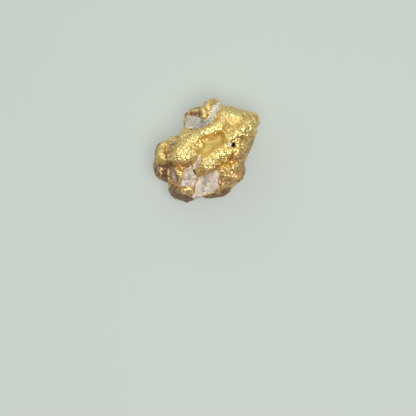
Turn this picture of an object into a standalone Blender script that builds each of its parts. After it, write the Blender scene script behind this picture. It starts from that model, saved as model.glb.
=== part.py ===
"""A gold nugget with milky quartz grown into it, lying on its worn back.

The nugget is modelled as one body: broad masses are fused, the side that faces up is pressed to a
plan of heights, smaller lumps are fused on, creases and hollows are pressed in, and it is cut flat
where it rests. Regions drawn on its plan are then taken out of that body: what lies
inside a region is a quartz grain, a solid of its own, and what is left of the body is the gold,
with a fine gap round every grain. X runs to the right and Y up the plan as the nugget is seen from
above, and Z is the height over the surface that it lies on. Lengths are named in millimetres.
"""

from dataclasses import dataclass
from math import cos, radians, sin

import bmesh
import bpy
import numpy as np
from mathutils import Euler, Matrix, Vector, noise

MM = 0.001

# Driving dimensions, in millimetres
CELL = 0.11  # size of the cells in which lobes are fused
POCKET_GAP = 0.04  # clearance all round a quartz grain in its pocket
BODY_ROUGH = (0.18, 1.2)  # how far the body's surface wanders, and over what length
GRAIN_ROUGH = (0.07, 0.5)  # the same for the edge of a quartz grain
WAIST_SHARE = 0.4  # share of a grain's height below which it tapers
FOOT_SHARE = 0.7  # size of its foot as a share of its outline
UPPER_SIDE = (2.2, 3.2)  # heights between which strokes on the upper side fade in
REST_BLOCK = 30.0  # side of the block that cuts the resting face flat
SHEET_SLACK = 0.02  # how loosely the sheet of heights follows its marks
FACES_UP = 0.55  # upward part of a normal from which a point takes the height of the sheet
PRESSES = 3  # times that the upper side is pressed to the sheet

BODY_DETAIL = 0.087  # share of the fused triangles kept in the body
GRAIN_DETAIL = 0.024  # and in the edge of a quartz grain
LOBE_SUBDIVISIONS = 4
ROUND = 2.0  # power of a plain ellipsoid
EVEN = 2.4  # power of a lobe between the two
BLOCKY = 3.0  # power of a lobe with flattened sides


@dataclass(frozen=True)
class Lobe:
    """One rounded mass: its centre and half sizes, its turn about X, Y and Z, and how boxy it is."""

    at: tuple
    half: tuple
    turn: tuple = (0, 0, 0)
    power: float = ROUND


@dataclass(frozen=True)
class Stroke:
    """A crease, hollow or ridge along a line on the plan: how wide it reaches and how far it moves."""

    line: tuple
    reach: float
    move: float


@dataclass(frozen=True)
class Grain:
    """One piece of quartz: its outline on the plan, and the heights that it lies between."""

    outline: tuple
    foot: float
    crown: float


MASSES = {
    "core": Lobe((0.3, -0.3, 2.75), (3.6, 3.0, 2.3), power=BLOCKY),
    "core_right": Lobe((2.9, 1.8, 2.65), (2.1, 2.4, 2.15), (0, 0, -12), BLOCKY),
    "core_left": Lobe((-3.0, -1.0, 2.4), (2.1, 1.75, 1.85), (0, 0, 10), BLOCKY),
    "core_low": Lobe((-0.5, -3.2, 2.25), (3.1, 1.65, 1.8), (0, 0, 6), BLOCKY),
    "core_top": Lobe((0.2, 2.9, 2.5), (2.0, 1.7, 1.5), (0, 0, 12), BLOCKY),
    "head": Lobe((3.15, 2.38, 3.1), (1.98, 1.92, 2.3), (6, 4, -16), BLOCKY),
    "head_corner": Lobe((4.75, 3.14, 3.4), (0.87, 0.87, 1.35), (0, 12, -14)),
    "head_side": Lobe((4.32, 1.6, 3.2), (0.72, 1.5, 1.6), (0, 10, -22)),
    "head_crown": Lobe((2.3, 3.84, 3.3), (1.15, 0.9, 1.5), (0, 0, -10)),
    "temple": Lobe((1.5, 3.3, 3.2), (0.75, 1.1, 1.7), (0, 0, -22)),
    "snout": Lobe((2.95, 0.2, 3.2), (1.5, 1.45, 2.1), (0, 0, 12), EVEN),
    "ridge": Lobe((0.3, 1.75, 3.5), (2.3, 0.75, 2.0), (0, 0, 16)),
    "shoulder": Lobe((-2.15, 0.3, 3.2), (1.7, 1.6, 2.3), (0, 0, 15)),
    "brow": Lobe((-1.75, 1.2, 3.1), (1.0, 0.85, 1.9), (0, 0, 14)),
    "middle": Lobe((0.1, -0.6, 3.4), (2.4, 1.6, 2.2), (0, 0, 8), BLOCKY),
    "hip": Lobe((2.9, -2.1, 3.0), (1.15, 1.25, 1.9), (0, 0, 0)),
    "haunch": Lobe((2.15, -3.4, 2.7), (0.85, 1.6, 1.6), (0, 0, -38)),
    "sill": Lobe((0.72, -4.2, 2.3), (1.85, 0.8, 1.35), (0, 0, 4)),
    "heel": Lobe((-2.65, -4.2, 2.0), (1.55, 1.05, 1.35), (0, 0, -38)),
    "heel_tip": Lobe((-1.95, -4.7, 2.0), (0.9, 0.68, 1.15)),
    "ear": Lobe((-4.58, -0.25, 3.1), (0.76, 1.25, 1.45), (0, 0, -12), EVEN),
    "ear_low": Lobe((-4.87, -1.95, 2.6), (0.65, 1.08, 1.35), (0, 0, 8)),
    "ear_foot": Lobe((-4.35, -2.6, 2.3), (0.62, 0.78, 1.2), (0, 0, 30)),
    "bead": Lobe((-3.55, 0.72, 3.1), (0.5, 0.75, 1.4)),
    "crest_top": Lobe((0.6, 4.45, 3.2), (0.98, 1.0, 1.45), (0, 0, -25)),
    "crest_left": Lobe((-1.1, 3.72, 3.0), (1.05, 0.72, 1.35), (0, 0, 24)),
    "crest_back": Lobe((-1.05, 3.0, 2.6), (1.34, 1.5, 1.6), (0, 0, 8)),
    "foot_right": Lobe((2.6, 1.4, 1.75), (2.2, 2.1, 1.93)),
    "foot_left": Lobe((-2.4, 0.0, 1.75), (1.75, 1.6, 1.98)),
    "foot_low": Lobe((0.3, -2.7, 1.75), (2.4, 2.0, 1.92)),
}

HEIGHTS = {
    "head": (
        (2.2, 4.45, 4.7), (3.2, 4.3, 4.7), (4.2, 3.95, 4.6), (2.0, 3.9, 5.6), (2.9, 3.75, 5.75),
        (3.8, 3.5, 5.6), (2.2, 3.1, 5.85), (3.0, 2.7, 5.75), (3.9, 3.0, 5.85), (2.4, 2.1, 5.95),
        (3.2, 1.9, 6.1), (3.9, 2.2, 6.15), (4.5, 2.7, 5.6), (4.9, 2.1, 5.1), (5.1, 2.9, 4.6),
        (4.4, 1.6, 5.4), (4.2, 1.0, 5.3),
    ),
    "snout": (
        (1.9, 0.6, 5.95), (2.2, 1.15, 6.25), (2.7, 1.35, 6.15), (2.4, 0.5, 5.95), (3.3, 0.7, 6.0),
        (2.5, -0.2, 6.15), (3.2, 0.0, 5.95), (3.9, 0.2, 5.4), (4.3, 0.1, 4.8), (3.9, -0.5, 5.1),
        (3.0, -0.65, 5.6), (2.0, -0.5, 6.1), (1.5, -0.3, 6.15),
    ),
    "ridge": (
        (-1.6, 1.35, 5.95), (-0.9, 1.45, 6.15), (0.0, 1.85, 6.35), (0.9, 2.25, 6.5), (1.7, 2.75, 6.4),
        (1.6, 2.0, 6.2), (1.75, 1.4, 6.0),
    ),
    "back_slope": (
        (-2.7, 1.9, 4.6), (-1.8, 2.15, 4.75), (-0.8, 2.25, 4.9), (0.2, 2.5, 5.1), (0.9, 3.0, 5.3),
        (1.3, 3.6, 5.3), (1.6, 4.2, 5.0),
    ),
    "hollow": (
        (-0.4, 1.1, 5.85), (0.3, 1.25, 5.8), (1.0, 1.4, 5.65), (1.4, 0.9, 5.55), (0.9, 0.7, 5.5),
        (0.3, 0.5, 5.6), (-0.7, 0.5, 5.95), (-0.75, -0.45, 6.05), (-0.3, -0.6, 6.15),
        (0.4, -0.42, 6.2), (0.95, 0.02, 6.15), (1.35, 0.35, 5.9),
    ),
    "shoulder": (
        (-1.0, -0.3, 6.2), (-1.5, -0.5, 6.4), (-2.3, -0.5, 6.4), (-3.0, -0.6, 6.05), (-2.4, 0.4, 6.3),
        (-1.4, 0.5, 6.2), (-3.0, 0.5, 5.75), (-2.2, 1.1, 5.9), (-2.9, 1.3, 5.2), (-3.5, -0.2, 5.4),
        (-3.55, -0.9, 5.2), (-2.4, -1.1, 5.75), (-1.5, -1.05, 5.8), (-3.2, -1.2, 5.2),
    ),
    "lip": (
        (0.3, -0.85, 6.3), (-0.3, -1.3, 6.2), (0.6, -1.3, 6.3), (1.3, -1.0, 6.0), (-0.5, -2.0, 5.5),
        (0.4, -2.0, 5.5), (1.2, -1.6, 5.3),
    ),
    "cheek": (
        (-3.3, -1.7, 4.3), (-2.3, -1.8, 4.7), (-1.7, -1.8, 4.8), (-2.2, -2.6, 4.6), (-1.7, -2.4, 4.75),
        (-1.3, -2.9, 4.4), (-2.1, -3.3, 4.3), (-2.7, -3.6, 3.9), (-1.5, -3.6, 4.2), (-2.9, -2.6, 4.5),
    ),
    "lower_quartz": (
        (-0.6, -2.8, 4.5), (0.1, -2.7, 4.45), (0.9, -2.2, 4.7), (-0.6, -3.6, 4.2), (-0.1, -3.5, 3.95),
        (0.5, -3.3, 4.35), (1.1, -2.8, 4.6), (-0.8, -4.4, 3.6), (-0.2, -4.3, 3.6), (0.5, -4.1, 3.9),
        (-1.1, -5.0, 2.9),
    ),
    "hip": (
        (2.0, -1.1, 5.55), (3.0, -1.0, 5.2), (2.6, -1.7, 5.4), (3.3, -1.9, 5.2), (3.8, -2.1, 4.5),
        (2.1, -2.5, 5.0), (3.0, -2.8, 4.75), (1.6, -3.2, 4.5), (2.3, -3.5, 4.1), (1.2, -4.2, 3.7),
        (1.7, -4.4, 3.1), (0.3, -4.6, 3.2),
    ),
    "heel": (
        (-3.6, -3.8, 3.0), (-2.9, -4.3, 3.3), (-2.1, -4.3, 3.8), (-1.4, -4.3, 3.7), (-2.4, -5.0, 2.7),
        (-1.6, -5.1, 2.8),
    ),
    "ear": (
        (-4.4, 0.75, 4.1), (-4.7, 0.1, 4.5), (-4.75, -0.7, 4.7), (-4.3, -1.1, 4.7), (-5.2, -0.3, 4.0),
        (-3.95, 0.4, 4.2), (-3.95, -0.6, 4.2), (-3.95, -1.3, 4.1), (-3.5, 1.1, 4.3), (-5.2, -1.2, 3.9),
        (-5.1, -2.0, 3.7), (-4.8, -2.7, 3.6), (-4.4, -2.2, 3.5), (-4.35, -3.0, 3.2), (-3.95, -2.2, 3.75),
        (-3.5, -2.6, 3.6), (-3.3, -3.3, 3.5),
    ),
    "crest": (
        (-1.8, 3.9, 4.1), (-1.1, 4.2, 4.4), (-0.5, 4.1, 4.6), (0.2, 4.6, 4.8), (0.6, 5.1, 4.4),
        (-2.0, 3.2, 3.9), (-1.4, 2.9, 4.05), (-0.6, 2.8, 4.15), (0.2, 3.1, 4.4), (0.7, 3.7, 4.6),
        (1.1, 4.5, 4.4), (-0.1, 3.7, 4.75),
    ),
}

LUMPS = {
    "head_rise": Lobe((3.95, 2.2, 5.2), (0.9, 1.15, 1.15), (0, 10, -24)),
    "corner_bead": Lobe((4.95, 2.1, 4.7), (0.35, 0.5, 0.7)),
    "ridge_crest": Lobe((0.5, 2.05, 5.45), (1.8, 0.62, 1.05), (0, 0, 25)),
    "ridge_end": Lobe((1.55, 2.35, 5.6), (0.42, 0.75, 0.95), (0, 0, -30)),
    "hollow_bump": Lobe((-0.55, 0.65, 5.4), (0.42, 0.4, 0.65)),
    "eye_rim": Lobe((2.4, 1.2, 5.6), (0.75, 0.28, 0.7), (0, 0, 18)),
    "snout_top": Lobe((2.4, -0.3, 5.4), (1.0, 0.55, 0.85), (0, 0, -12)),
    "lip": Lobe((0.25, -1.35, 5.2), (1.3, 1.0, 1.4), (0, 0, 18), EVEN),
    "chin": Lobe((-0.55, -2.1, 4.9), (0.75, 0.62, 0.9), (0, 0, -14), EVEN),
    "shoulder_edge": Lobe((-2.4, -0.6, 5.3), (1.45, 0.75, 1.15), (0, 0, 4), EVEN),
    "shoulder_top": Lobe((-1.5, -0.35, 5.5), (0.8, 0.7, 1.05), (0, 0, 20)),
    "tooth_left": Lobe((-2.8, -2.32, 4.4), (0.42, 0.82, 0.78), (0, 0, 34)),
    "tooth_low": Lobe((-2.0, -4.25, 3.6), (0.75, 0.42, 0.65), (0, 0, -8)),
    "ear_pillow": Lobe((-4.68, -0.5, 4.0), (0.58, 0.9, 0.72), (0, 0, -10), EVEN),
    "ear_bead_high": Lobe((-4.78, -2.35, 3.55), (0.22, 0.32, 0.4), (0, 0, 25)),
    "ear_bead_low": Lobe((-4.82, -2.8, 3.35), (0.25, 0.2, 0.35)),
    "bead": Lobe((-3.55, 1.0, 4.0), (0.4, 0.4, 0.6)),
    "rib": Lobe((-4.0, -2.35, 3.5), (0.17, 0.8, 0.55), (0, 0, 3)),
    "rib_foot": Lobe((-3.62, -3.35, 3.4), (0.2, 0.6, 0.5), (0, 0, 48)),
    "tongue": Lobe((-0.25, 3.85, 4.3), (0.42, 0.75, 0.95), (0, 0, 14)),
    "hip_knob": Lobe((2.85, -1.75, 4.9), (0.6, 0.5, 0.7), (0, 0, 10)),
    "hip_low": Lobe((3.1, -2.7, 4.3), (0.7, 0.7, 0.75)),
    "haunch_knob": Lobe((2.0, -3.3, 3.9), (0.5, 0.8, 0.6), (0, 0, -38)),
    "flank_head": Lobe((4.4, 2.4, 2.0), (0.6, 0.8, 0.6)),
    "flank_crown": Lobe((2.7, 3.95, 2.2), (0.8, 0.5, 0.6), (0, 0, -12)),
    "flank_crest": Lobe((-1.8, 3.5, 1.9), (0.6, 0.7, 0.6)),
    "flank_ear": Lobe((-4.55, -0.7, 1.7), (0.7, 0.8, 0.6)),
    "flank_hip": Lobe((3.4, -2.1, 1.7), (0.6, 0.8, 0.6)),
    "flank_snout": Lobe((3.85, -0.25, 2.5), (0.45, 0.5, 0.9)),
    "flank_heel": Lobe((-2.9, -4.2, 1.2), (0.8, 0.6, 0.5), (0, 0, -38)),
}

SCOOPS = {
    "bowl": Lobe((1.3, 1.05, 6.3), (0.6, 0.85, 0.85), (0, 0, -24)),
    "spoon": Lobe((0.1, 0.05, 6.3), (1.0, 0.5, 0.7), (0, 0, 24)),
    "arc": Lobe((-0.1, 1.15, 6.35), (0.8, 0.34, 0.62), (0, 0, 14)),
    "eye_pit": Lobe((2.84, 0.56, 6.1), (0.25, 0.27, 1.3)),
}

STROKES = {
    "jaw_crease": Stroke(((1.4, -1.6), (2.2, -1.3), (3.1, -0.95), (4.3, -0.85)), 0.4, -0.35),
    "snout_crease": Stroke(((2.95, -0.3), (2.5, -0.95)), 0.25, -0.2),
    "lip_crease": Stroke(((-1.4, -2.2), (-1.1, -1.6), (-0.65, -0.6)), 0.35, -0.3),
    "ear_crease": Stroke(((-3.95, 1.0), (-4.05, 0.4), (-3.95, -0.6), (-3.85, -1.5)), 0.35, -0.45),
    "ear_ledge": Stroke(((-4.95, -1.62), (-4.5, -1.65), (-4.2, -1.7)), 0.28, -0.45),
    "bead_crease": Stroke(((-2.95, 1.6), (-3.15, 0.7), (-3.6, 0.0)), 0.25, -0.3),
    "rib_crease": Stroke(((-3.7, -1.7), (-3.4, -2.3), (-3.05, -3.1)), 0.25, -0.35),
    "eye_rim": Stroke(((1.9, 1.0), (2.5, 1.15), (3.0, 1.4)), 0.4, 0.15),
    "head_rise": Stroke(((3.2, 1.7), (3.9, 2.3), (4.6, 2.9)), 0.6, 0.16),
    "head_dish": Stroke(((2.2, 2.3), (3.2, 3.0)), 0.9, -0.12),
    "corner_dent": Stroke(((4.5, 2.5), (4.55, 1.6)), 0.3, -0.2),
    "crest_pit": Stroke(((-1.6, 3.75), (-1.2, 3.7), (-0.8, 3.7)), 0.28, -0.25),
    "tongue_crease": Stroke(((-0.75, 4.3), (-0.6, 3.7)), 0.25, -0.25),
    "valley": Stroke(((-0.1, -2.9), (-0.12, -3.6), (-0.3, -4.2)), 0.35, -0.18),
    "seam": Stroke(((-0.95, -3.1), (-1.2, -3.6), (-1.3, -4.5)), 0.2, -0.12),
}

QUARTZ = {
    "quartz_upper": Grain(
        (
            (-2.2, 2.3), (-2.22, 2.9), (-2.08, 3.5), (-1.8, 3.72), (-1.35, 3.58), (-1.0, 3.52),
            (-0.7, 3.4), (-0.4, 3.18), (-0.15, 3.18), (0.07, 3.3), (0.28, 3.75), (0.5, 4.2),
            (0.66, 4.6), (0.9, 4.88), (1.3, 5.0), (1.52, 4.8), (1.25, 4.27), (0.95, 3.73),
            (0.8, 3.27), (0.66, 2.85), (0.62, 2.32), (0.2, 2.1), (-1.0, 2.2),
        ),
        foot=2.0,
        crown=5.3,
    ),
    "quartz_lower": Grain(
        (
            (-1.5, -4.98), (-1.32, -4.5), (-1.14, -3.9), (-1.02, -3.4), (-0.8, -3.0), (-0.7, -2.6),
            (0.0, -2.1), (0.9, -1.7), (1.6, -1.8), (1.55, -2.4), (1.25, -2.8), (1.17, -3.3),
            (1.25, -3.8), (1.0, -4.12), (0.2, -4.5), (-0.4, -4.75), (-0.9, -4.95), (-1.2, -5.05),
        ),
        foot=1.5,
        crown=4.7,
    ),
    "quartz_cheek": Grain(
        (
            (-2.85, -3.75), (-2.65, -3.2), (-2.42, -2.8), (-2.5, -2.35), (-2.35, -2.05),
            (-2.0, -1.85), (-1.6, -1.6), (-1.4, -1.8), (-1.32, -2.4), (-0.95, -2.75),
            (-1.15, -3.1), (-1.3, -3.45), (-1.35, -3.8), (-1.8, -3.85), (-2.4, -3.85),
        ),
        foot=2.2,
        crown=5.0,
    ),
    "quartz_sliver": Grain(
        (
            (-0.75, -0.5), (-0.46, -0.55), (-0.46, -1.0), (-0.6, -1.35), (-0.88, -1.75), (-1.05, -2.0),
            (-1.45, -1.98), (-1.3, -1.55), (-1.08, -1.2), (-0.92, -0.85),
        ),
        foot=3.8,
        crown=6.4,
    ),
    "quartz_vein": Grain(
        (
            (-3.88, -1.7), (-3.6, -1.8), (-3.38, -2.4), (-3.08, -2.95), (-2.98, -3.4),
            (-3.2, -3.5), (-3.65, -3.15), (-3.86, -2.6),
        ),
        foot=2.0,
        crown=5.0,
    ),
    "quartz_eye": Grain(
        ((2.1, 0.45), (2.2, 0.7), (2.45, 0.78), (2.62, 0.6), (2.55, 0.3), (2.3, 0.22)),
        foot=4.9,
        crown=6.9,
    ),
}


def clear_scene():
    """Removes the objects that the startup scene holds."""
    for obj in list(bpy.data.objects):
        bpy.data.objects.remove(obj)


def new_collection(name):
    """Returns a new collection linked to the scene."""
    collection = bpy.data.collections.new(name)
    bpy.context.scene.collection.children.link(collection)
    return collection


def new_material(name, colour, roughness, metallic):
    """Returns a Principled material with these values."""
    material = bpy.data.materials.new(name)
    material.use_nodes = True
    shader = material.node_tree.nodes["Principled BSDF"]
    shader.inputs["Base Color"].default_value = (*colour, 1.0)
    shader.inputs["Roughness"].default_value = roughness
    shader.inputs["Metallic"].default_value = metallic
    return material


def add_lobe(bm, lobe):
    """Adds one lobe to bm: an icosphere swelled towards a box by its power, then sized and turned."""
    ball = bmesh.ops.create_icosphere(bm, subdivisions=LOBE_SUBDIVISIONS, radius=1.0)["verts"]
    for vert in ball:
        swell = sum(abs(c) ** lobe.power for c in vert.co) ** (-1.0 / lobe.power)
        vert.co *= swell
    turn = Euler([radians(a) for a in lobe.turn]).to_matrix().to_4x4()
    size = Matrix.Diagonal((*(Vector(lobe.half) * MM), 1.0))
    bmesh.ops.transform(bm, matrix=Matrix.Translation(Vector(lobe.at) * MM) @ turn @ size, verts=ball)


def apply_modifiers(obj):
    """Makes what the modifiers of obj give its own mesh."""
    graph = bpy.context.evaluated_depsgraph_get()
    mesh = bpy.data.meshes.new_from_object(obj.evaluated_get(graph))
    obj.modifiers.clear()
    old = obj.data
    obj.data = mesh
    bpy.data.meshes.remove(old)


def fuse(obj, soften):
    """Fuses what the mesh of obj holds into one closed surface, and softens it."""
    remesh = obj.modifiers.new("fuse", "REMESH")
    remesh.mode = "VOXEL"
    remesh.voxel_size = CELL * MM
    smooth = obj.modifiers.new("soften", "SMOOTH")
    smooth.factor = 0.5
    smooth.iterations = soften
    apply_modifiers(obj)


def new_solid(name, bm, collection, soften):
    """Returns an object whose mesh is what bm holds, fused into one closed surface and softened."""
    mesh = bpy.data.meshes.new(name)
    bm.to_mesh(mesh)
    bm.free()
    obj = bpy.data.objects.new(name, mesh)
    collection.objects.link(obj)
    fuse(obj, soften)
    return obj


def add_lobes(obj, lobes):
    """Adds lobes to the mesh of obj, not fused yet."""
    bm = bmesh.new()
    bm.from_mesh(obj.data)
    for lobe in lobes:
        add_lobe(bm, lobe)
    bm.to_mesh(obj.data)
    bm.free()


def points_and_normals(mesh):
    """Returns the vertices of mesh and their normals, as two arrays in millimetres and unit length."""
    points = np.empty(len(mesh.vertices) * 3, np.float32)
    normals = np.empty(len(mesh.vertices) * 3, np.float32)
    mesh.vertices.foreach_get("co", points)
    mesh.vertices.foreach_get("normal", normals)
    return points.reshape(-1, 3) / MM, normals.reshape(-1, 3)


def distance_to_line(points, line):
    """Returns how far each point lies from a line of plan points, measured on the plan."""
    plan = points[:, :2]
    nearest = np.full(len(plan), np.inf)
    for start, end in zip(line, line[1:]):
        start, run = np.array(start), np.array(end) - np.array(start)
        along = np.clip(((plan - start) @ run) / (run @ run), 0, 1)
        nearest = np.minimum(nearest, np.linalg.norm(plan - start - along[:, None] * run, axis=1))
    return nearest


def height_plan(plan):
    """Returns the height that HEIGHTS gives at each plan point, as a thin sheet bent through them."""
    marks = np.array([mark for group in HEIGHTS.values() for mark in group])

    def bend(points):
        """Returns how much each mark bends the sheet at each of the points, with its tilt."""
        gap = np.linalg.norm(points[:, None] - marks[None, :, :2], axis=2)
        pull = gap**2 * np.log(np.maximum(gap, 1e-6))
        return np.hstack([pull, np.ones((len(points), 1)), points])

    side = bend(marks[:, :2])
    count = len(marks)
    system = np.zeros((count + 3, count + 3))
    system[:count] = side
    system[:count, :count] += SHEET_SLACK * np.eye(count)
    system[count:, :count] = side[:, count:].T
    weights = np.linalg.solve(system, np.append(marks[:, 2], (0, 0, 0)))
    return bend(plan) @ weights


def press_to_heights(mesh):
    """Moves what faces up to the heights of the plan, and leaves the sides as they are."""
    points, normals = points_and_normals(mesh)
    up = np.clip(normals[:, 2] / FACES_UP, 0, 1) ** 2 * np.clip((points[:, 2] - 1.8) / 0.8, 0, 1)
    points[:, 2] += up * (height_plan(points[:, :2]) - points[:, 2])
    mesh.vertices.foreach_set("co", (points * MM).astype(np.float32).ravel())
    mesh.update()


def scoop(mesh, bowls):
    """Lowers what faces up to the floor of each bowl, an ellipsoid turned about Z, with a crisp rim."""
    points, normals = points_and_normals(mesh)
    for bowl in bowls:
        turn = radians(bowl.turn[2])
        gap = points[:, :2] - bowl.at[:2]
        along = (gap[:, 0] * cos(turn) + gap[:, 1] * sin(turn)) / bowl.half[0]
        across = (gap[:, 1] * cos(turn) - gap[:, 0] * sin(turn)) / bowl.half[1]
        inside = 1 - along**2 - across**2
        floor = bowl.at[2] - bowl.half[2] * np.sqrt(np.clip(inside, 0, 1))
        low = (inside > 0) & (normals[:, 2] > 0) & (points[:, 2] > floor)
        points[low, 2] = floor[low]
    mesh.vertices.foreach_set("co", (points * MM).astype(np.float32).ravel())
    mesh.update()


def sculpt(mesh, strokes, rough):
    """Moves the upper side down or up by the strokes, and the whole surface by soft noise."""
    points, normals = points_and_normals(mesh)
    low, high = UPPER_SIDE
    upper = np.clip((points[:, 2] - low) / (high - low), 0, 1) * np.clip(normals[:, 2] * 2, 0, 1)
    for stroke in strokes:
        fall = np.clip(1 - (distance_to_line(points, stroke.line) / stroke.reach) ** 2, 0, 1)
        points[:, 2] += stroke.move * upper * fall**2
    depth, length = rough
    lumps = np.array([noise.fractal(Vector(p) / length, 1.0, 2.0, 3) for p in points])
    moved = (points + normals * (depth * lumps)[:, None]) * MM
    mesh.vertices.foreach_set("co", moved.astype(np.float32).ravel())
    mesh.update()


def thin_out(obj, share):
    """Reduces the mesh of obj to this share of its triangles."""
    thin = obj.modifiers.new("thin", "DECIMATE")
    thin.ratio = share
    thin.use_collapse_triangulate = True
    apply_modifiers(obj)


def hide_cutter(obj):
    """Marks obj as a cutter, which no render shows."""
    obj.hide_render = True
    obj.display_type = "WIRE"


def make_body(cutters):
    """Makes the whole nugget as one body, gold and quartz together, cut flat where it rests."""
    bm = bmesh.new()
    for lobe in MASSES.values():
        add_lobe(bm, lobe)
    body = new_solid("body", bm, cutters, soften=6)
    for _ in range(PRESSES):
        press_to_heights(body.data)
        fuse(body, soften=2)
    add_lobes(body, LUMPS.values())
    fuse(body, soften=2)
    scoop(body.data, SCOOPS.values())
    sculpt(body.data, STROKES.values(), BODY_ROUGH)
    thin_out(body, BODY_DETAIL)
    bpy.ops.mesh.primitive_cube_add(size=REST_BLOCK * MM, location=(0, 0, -REST_BLOCK / 2 * MM))
    block = bpy.context.object
    for owner in list(block.users_collection):
        owner.objects.unlink(block)
    cutters.objects.link(block)
    combine(body, block, "DIFFERENCE")
    hide_cutter(block)
    hide_cutter(body)
    return body


def combine(obj, other, operation):
    """Cuts obj by other, or keeps what the two share."""
    cut = obj.modifiers.new(other.name, "BOOLEAN")
    cut.operation = operation
    cut.solver = "EXACT"
    cut.object = other
    apply_modifiers(obj)


def make_region(name, grain, cutters):
    """Makes the block of space that a quartz grain fills: its outline, stood up and roughened."""
    bm = bmesh.new()
    middle = Vector([sum(c) / len(grain.outline) for c in zip(*grain.outline)])
    waist = grain.foot + WAIST_SHARE * (grain.crown - grain.foot)
    rings = []
    for height, share in ((grain.foot, FOOT_SHARE), (waist, 1), (grain.crown, 1)):
        plan = [middle.lerp(Vector(point), share) for point in grain.outline]
        rings.append([bm.verts.new(Vector((*point, height)) * MM) for point in plan])
    bm.faces.new(rings[0])
    bm.faces.new(rings[-1][::-1])
    for low, high in zip(rings, rings[1:]):
        for i in range(len(grain.outline)):
            bm.faces.new((low[i - 1], low[i], high[i], high[i - 1]))
    bmesh.ops.recalc_face_normals(bm, faces=bm.faces)
    region = new_solid(name + "_region", bm, cutters, soften=2)
    sculpt(region.data, (), GRAIN_ROUGH)
    thin_out(region, GRAIN_DETAIL)
    hide_cutter(region)
    return region


def copy_of(obj, name, collection):
    """Returns a copy of obj, with a mesh of its own, in this collection."""
    twin = bpy.data.objects.new(name, obj.data.copy())
    collection.objects.link(twin)
    return twin


def finish(obj, material):
    """Gives obj its material and smooth shading with sharp creases kept."""
    obj.data.materials.clear()
    obj.data.materials.append(material)
    obj.data.shade_smooth()
    obj.data.set_sharp_from_angle(angle=radians(50))


def centre_on_plan(objects):
    """Moves all the pieces together, so that the middle of their plan is the origin."""
    corners = [Vector(c) for obj in objects for c in obj.bound_box]
    shift = Vector(
        [-(min(c[i] for c in corners) + max(c[i] for c in corners)) / 2 for i in range(2)] + [0]
    )
    for obj in objects:
        obj.data.transform(Matrix.Translation(shift))
        obj.data.update()


def main():
    """Builds the nugget."""
    clear_scene()
    nugget = new_collection("gold_nugget")
    cutters = new_collection("cutters")
    gold_finish = new_material("gold", (0.80, 0.55, 0.16), 0.35, 1.0)
    quartz_finish = new_material("quartz", (0.72, 0.66, 0.60), 0.5, 0.0)
    body = make_body(cutters)
    gold = copy_of(body, "gold", nugget)
    for name, grain in QUARTZ.items():
        region = make_region(name, grain, cutters)
        quartz = copy_of(body, name, nugget)
        combine(quartz, region, "INTERSECT")
        finish(quartz, quartz_finish)
        pocket = copy_of(region, name + "_pocket", cutters)
        swell = pocket.modifiers.new("gap", "DISPLACE")
        swell.strength = POCKET_GAP * MM
        swell.mid_level = 0.0
        apply_modifiers(pocket)
        hide_cutter(pocket)
        combine(gold, pocket, "DIFFERENCE")
    finish(gold, gold_finish)
    centre_on_plan(list(nugget.objects))


main()
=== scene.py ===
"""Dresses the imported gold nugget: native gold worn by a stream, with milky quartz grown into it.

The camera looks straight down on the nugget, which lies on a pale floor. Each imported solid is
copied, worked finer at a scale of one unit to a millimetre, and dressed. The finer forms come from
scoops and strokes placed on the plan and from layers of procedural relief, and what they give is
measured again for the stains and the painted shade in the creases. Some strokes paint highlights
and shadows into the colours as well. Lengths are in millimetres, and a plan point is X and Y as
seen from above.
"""

from __future__ import annotations

import logging
from collections.abc import Iterable, Mapping
from dataclasses import dataclass, field
from enum import Enum
from math import cos, pi, radians, sin
from typing import TypeAlias

import bpy
import numpy as np
from mathutils import Matrix, Vector
from mathutils.bvhtree import BVHTree

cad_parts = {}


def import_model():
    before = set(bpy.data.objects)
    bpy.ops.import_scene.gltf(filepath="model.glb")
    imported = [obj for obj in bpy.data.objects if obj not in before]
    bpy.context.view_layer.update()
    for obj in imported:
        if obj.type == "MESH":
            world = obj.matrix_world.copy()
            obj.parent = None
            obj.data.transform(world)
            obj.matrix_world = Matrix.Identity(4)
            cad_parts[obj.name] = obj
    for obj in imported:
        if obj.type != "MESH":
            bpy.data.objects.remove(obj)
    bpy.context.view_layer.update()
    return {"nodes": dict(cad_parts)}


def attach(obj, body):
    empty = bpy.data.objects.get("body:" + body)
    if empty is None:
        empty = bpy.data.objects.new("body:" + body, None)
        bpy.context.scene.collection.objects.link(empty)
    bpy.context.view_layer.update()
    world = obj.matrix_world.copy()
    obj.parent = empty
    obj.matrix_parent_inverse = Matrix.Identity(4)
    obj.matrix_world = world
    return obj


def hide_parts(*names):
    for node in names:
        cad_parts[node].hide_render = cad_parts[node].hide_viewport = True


LOG = logging.getLogger("nugget")

MM = 0.001
ROOT_BODY = "root"

# How far the edges of a mark wander.
RAGGED = 0.05
# Points that are closer than this are made one.
WELD = 0.001
# How many steps the weights of a vertex group have.
WEIGHT_STEPS = 16
# How high above the floor the marks end.
MARKS_END = 1.0
# How high above the floor the fine relief is whole.
RELIEF_FADE = 0.4
# How wide the picture is, and its scale.
PICTURE_PX = 416
PX_PER_MM = 9.5

PlanPoint: TypeAlias = tuple[float, float]
Place: TypeAlias = tuple[float, float, float]
Colour: TypeAlias = tuple[float, float, float]
SocketValue: TypeAlias = "Socket | float | Colour | Vector"


class Attribute(Enum):
    """The measures that are kept on a mesh's points for its finish to read."""

    CREASE = "crease"
    PIT = "pit"
    WORN = "worn"
    RUST = "rust"
    SOIL = "soil"
    BORDER = "border"
    BLUSH = "blush"
    # Where quartz is darkened, mostly as painted shade in its creases and under the gold's lip.
    CLOUD = "cloud"
    MILK = "milk"
    # Where the gold is worn bright, and where highlights are painted into its colour.
    POLISH = "polish"


class Grain(Enum):
    """The kinds of procedural relief."""

    PEBBLES = "VORONOI"
    CLOUDS = "CLOUDS"
    FOLDS = "MUSGRAVE"


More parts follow.
